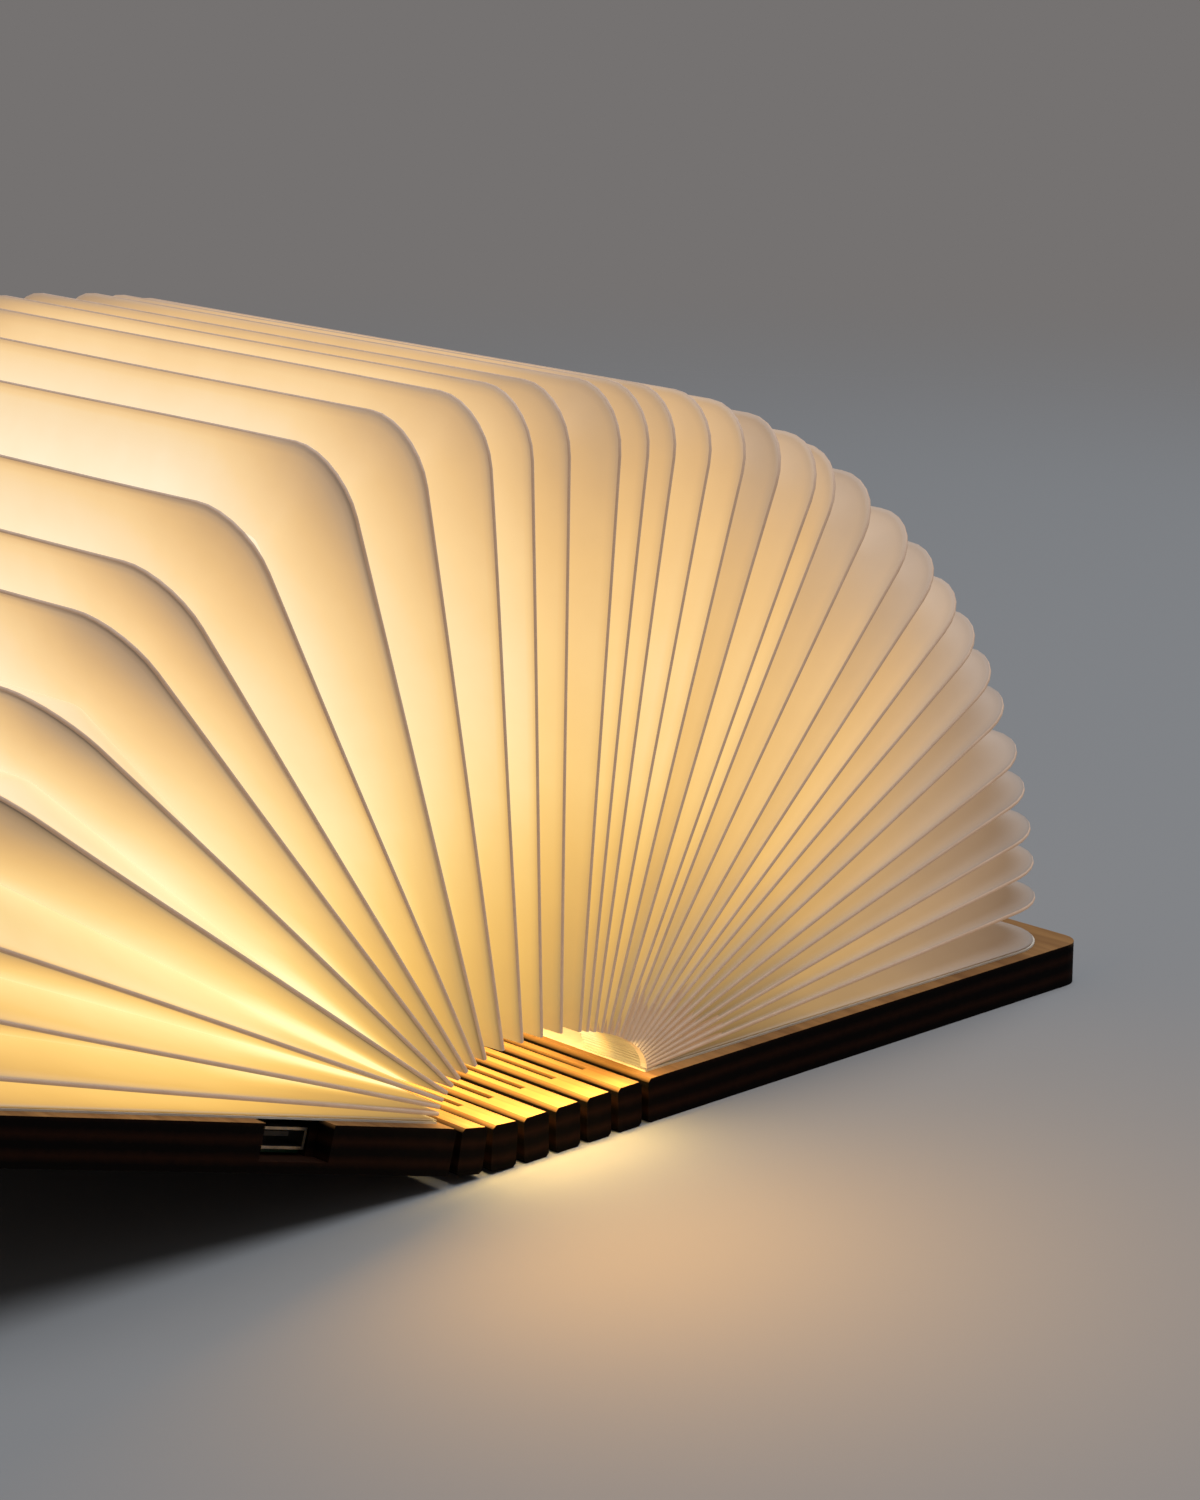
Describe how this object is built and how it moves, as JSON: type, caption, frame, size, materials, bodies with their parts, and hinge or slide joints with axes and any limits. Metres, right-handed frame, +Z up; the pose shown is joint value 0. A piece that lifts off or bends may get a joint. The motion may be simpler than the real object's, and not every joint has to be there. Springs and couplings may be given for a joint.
{
  "type": "folding book lamp",
  "caption": "Rechargeable lamp shaped like a book: two wooden covers on a slatted living-hinge spine open a fan of lit paper folds.",
  "frame": {"origin": "middle of the bottom of the open lamp's box, on the table", "axes": "+X across the covers towards the flat right cover, +Y along the spine away from the charging socket's end, +Z up"},
  "size_m": [0.2028, 0.122, 0.0964],
  "materials": {
    "plywood": "walnut-veneered plywood, oiled, with laser-browned edges",
    "liner_paper": "thin white spun paper, matt",
    "bellows_paper": "thin translucent spun paper, lit from inside",
    "white_board": "white solder mask",
    "light_chip": "yellow phosphor",
    "green_board": "green solder mask",
    "black_plastic": "moulded black plastic",
    "dark_metal": "dark ferrite",
    "ceramic_chip": "fired ceramic",
    "socket_steel": "pressed nickel-plated steel",
    "battery_foil": "laminated pouch foil",
    "lead_insulation": "soft red insulation",
    "magnet_nickel": "nickel plate"
  },
  "bodies": {
    "right_cover": {"right_cover": "plywood", "right_liner": "liner_paper", "right_magnets": "magnet_nickel", "sense_magnet": "magnet_nickel", "paper_fold_1": "bellows_paper"},
    "slat_1": {"spine_slat_1": "plywood", "paper_fold_2": "bellows_paper", "paper_fold_3": "bellows_paper"},
    "slat_2": {"spine_slat_2": "plywood", "paper_fold_4": "bellows_paper", "paper_fold_5": "bellows_paper"},
    "slat_3": {"spine_slat_3": "plywood", "paper_fold_6": "bellows_paper", "paper_fold_7": "bellows_paper"},
    "slat_4": {"spine_slat_4": "plywood", "paper_fold_8": "bellows_paper", "paper_fold_9": "bellows_paper"},
    "slat_5": {"spine_slat_5": "plywood", "paper_fold_10": "bellows_paper"},
    "slat_6": {"spine_slat_6": "plywood", "paper_fold_11": "bellows_paper"},
    "left_cover": {"left_cover": "plywood", "left_liner": "liner_paper", "led_board": "white_board", "leds": "light_chip", "charger_board": "green_board", "driver_chip": "black_plastic", "inductor": "dark_metal", "board_capacitors": "ceramic_chip", "hall_switch": "black_plastic", "usb_socket": "socket_steel", "usb_tongue": "black_plastic", "battery": "battery_foil", "battery_leads": "lead_insulation", "led_leads": "lead_insulation", "left_magnets": "magnet_nickel", "paper_fold_12": "bellows_paper"},
    "rib_1": {"paper_rib_1": "bellows_paper"},
    "rib_2": {"paper_rib_2": "bellows_paper"},
    "rib_3": {"paper_rib_3": "bellows_paper"},
    "rib_4": {"paper_rib_4": "bellows_paper"},
    "rib_5": {"paper_rib_5": "bellows_paper"},
    "rib_6": {"paper_rib_6": "bellows_paper"},
    "rib_7": {"paper_rib_7": "bellows_paper"},
    "rib_8": {"paper_rib_8": "bellows_paper"},
    "rib_9": {"paper_rib_9": "bellows_paper"},
    "rib_10": {"paper_rib_10": "bellows_paper"},
    "rib_11": {"paper_rib_11": "bellows_paper"}
  },
  "joints": [
    {"name": "slat_1_hinge", "type": "hinge", "parent": "right_cover", "child": "slat_1", "pos_m": [0.01482, 0, 0.003], "axis": [0, 1, 0], "range_deg": [-25.73, 25.73], "deforming": ["paper_fold_2", "paper_fold_3", "paper_fold_1"]},
    {"name": "slat_2_hinge", "type": "hinge", "parent": "slat_1", "child": "slat_2", "pos_m": [0.00947, 0, 0.003], "axis": [0, 1, 0], "range_deg": [-25.73, 25.73], "deforming": ["paper_fold_4", "paper_fold_5"]},
    {"name": "slat_3_hinge", "type": "hinge", "parent": "slat_2", "child": "slat_3", "pos_m": [0.00412, 0, 0.003], "axis": [0, 1, 0], "range_deg": [-25.73, 25.73], "deforming": ["paper_fold_6", "paper_fold_7"]},
    {"name": "slat_4_hinge", "type": "hinge", "parent": "slat_3", "child": "slat_4", "pos_m": [-0.00123, 0, 0.003], "axis": [0, 1, 0], "range_deg": [-25.73, 25.73], "deforming": ["paper_fold_8", "paper_fold_9"]},
    {"name": "slat_5_hinge", "type": "hinge", "parent": "slat_4", "child": "slat_5", "pos_m": [-0.00658, 0, 0.003], "axis": [0, 1, 0], "range_deg": [-21.23, 21.23], "deforming": ["paper_fold_10"]},
    {"name": "slat_6_hinge", "type": "hinge", "parent": "slat_5", "child": "slat_6", "pos_m": [-0.01191, 0, 0.00342], "axis": [0, 1, 0], "range_deg": [-19.73, 19.73], "deforming": ["paper_fold_11"]},
    {"name": "left_cover_hinge", "type": "hinge", "parent": "slat_6", "child": "left_cover", "pos_m": [-0.01717, 0, 0.00439], "axis": [0, 1, 0], "range_deg": [-20.71, 20.71], "deforming": ["paper_fold_12"]},
    {"name": "paper_rib_1_fold", "type": "hinge", "parent": "right_cover", "child": "rib_1", "pos_m": [0.01792, 0, 0.00587], "axis": [0, 1, 0], "range_deg": [-8.12, 8.12]},
    {"name": "paper_rib_2_fold", "type": "hinge", "parent": "rib_1", "child": "rib_2", "pos_m": [0.01865, 0, 0.00606], "axis": [0, 1, 0], "range_deg": [-12.02, 12.02]},
    {"name": "paper_rib_3_fold", "type": "hinge", "parent": "rib_2", "child": "rib_3", "pos_m": [0.01719, 0, 0.0076], "axis": [0, 1, 0], "range_deg": [-14.12, 14.12]},
    {"name": "paper_rib_4_fold", "type": "hinge", "parent": "rib_3", "child": "rib_4", "pos_m": [0.0151, 0, 0.0088], "axis": [0, 1, 0], "range_deg": [-14.12, 14.12]},
    {"name": "paper_rib_5_fold", "type": "hinge", "parent": "rib_4", "child": "rib_5", "pos_m": [0.01163, 0, 0.00852], "axis": [0, 1, 0], "range_deg": [-14.42, 14.42]},
    {"name": "paper_rib_6_fold", "type": "hinge", "parent": "rib_5", "child": "rib_6", "pos_m": [0.00648, 0, 0.00509], "axis": [0, 1, 0], "range_deg": [-12.92, 12.92]},
    {"name": "paper_rib_7_fold", "type": "hinge", "parent": "rib_6", "child": "rib_7", "pos_m": [0.0017, 0, -0.00004], "axis": [0, 1, 0], "range_deg": [-9.22, 9.22]},
    {"name": "paper_rib_8_fold", "type": "hinge", "parent": "rib_7", "child": "rib_8", "pos_m": [-0.00507, 0, -0.0386], "axis": [0, 1, 0], "range_deg": [-8.92, 8.92]},
    {"name": "paper_rib_9_fold", "type": "hinge", "parent": "rib_8", "child": "rib_9", "pos_m": [-0.00712, 0, -0.00235], "axis": [0, 1, 0], "range_deg": [-21.22, 21.22]},
    {"name": "paper_rib_10_fold", "type": "hinge", "parent": "rib_9", "child": "rib_10", "pos_m": [-0.01259, 0, 0.00481], "axis": [0, 1, 0], "range_deg": [-19.62, 19.62]},
    {"name": "paper_rib_11_fold", "type": "hinge", "parent": "rib_10", "child": "rib_11", "pos_m": [-0.01463, 0, 0.00808], "axis": [0, 1, 0], "range_deg": [-23.42, 23.42]}
  ],
  "couplings": [
    {"joint": "slat_1_hinge", "follows": "left_cover_hinge", "ratio": 1.2414},
    {"joint": "slat_2_hinge", "follows": "left_cover_hinge", "ratio": 1.2414},
    {"joint": "slat_3_hinge", "follows": "left_cover_hinge", "ratio": 1.2414},
    {"joint": "slat_4_hinge", "follows": "left_cover_hinge", "ratio": 1.2414},
    {"joint": "slat_5_hinge", "follows": "left_cover_hinge", "ratio": 1.0241},
    {"joint": "slat_6_hinge", "follows": "left_cover_hinge", "ratio": 0.95172},
    {"joint": "paper_rib_1_fold", "follows": "left_cover_hinge", "ratio": 0.39103},
    {"joint": "paper_rib_2_fold", "follows": "left_cover_hinge", "ratio": 0.57931},
    {"joint": "paper_rib_3_fold", "follows": "left_cover_hinge", "ratio": 0.68069},
    {"joint": "paper_rib_4_fold", "follows": "left_cover_hinge", "ratio": 0.68069},
    {"joint": "paper_rib_5_fold", "follows": "left_cover_hinge", "ratio": 0.69517},
    {"joint": "paper_rib_6_fold", "follows": "left_cover_hinge", "ratio": 0.62276},
    {"joint": "paper_rib_7_fold", "follows": "left_cover_hinge", "ratio": 0.44414},
    {"joint": "paper_rib_8_fold", "follows": "left_cover_hinge", "ratio": 0.42966},
    {"joint": "paper_rib_9_fold", "follows": "left_cover_hinge", "ratio": 1.0234},
    {"joint": "paper_rib_10_fold", "follows": "left_cover_hinge", "ratio": 0.94621},
    {"joint": "paper_rib_11_fold", "follows": "left_cover_hinge", "ratio": 1.1297}
  ]
}
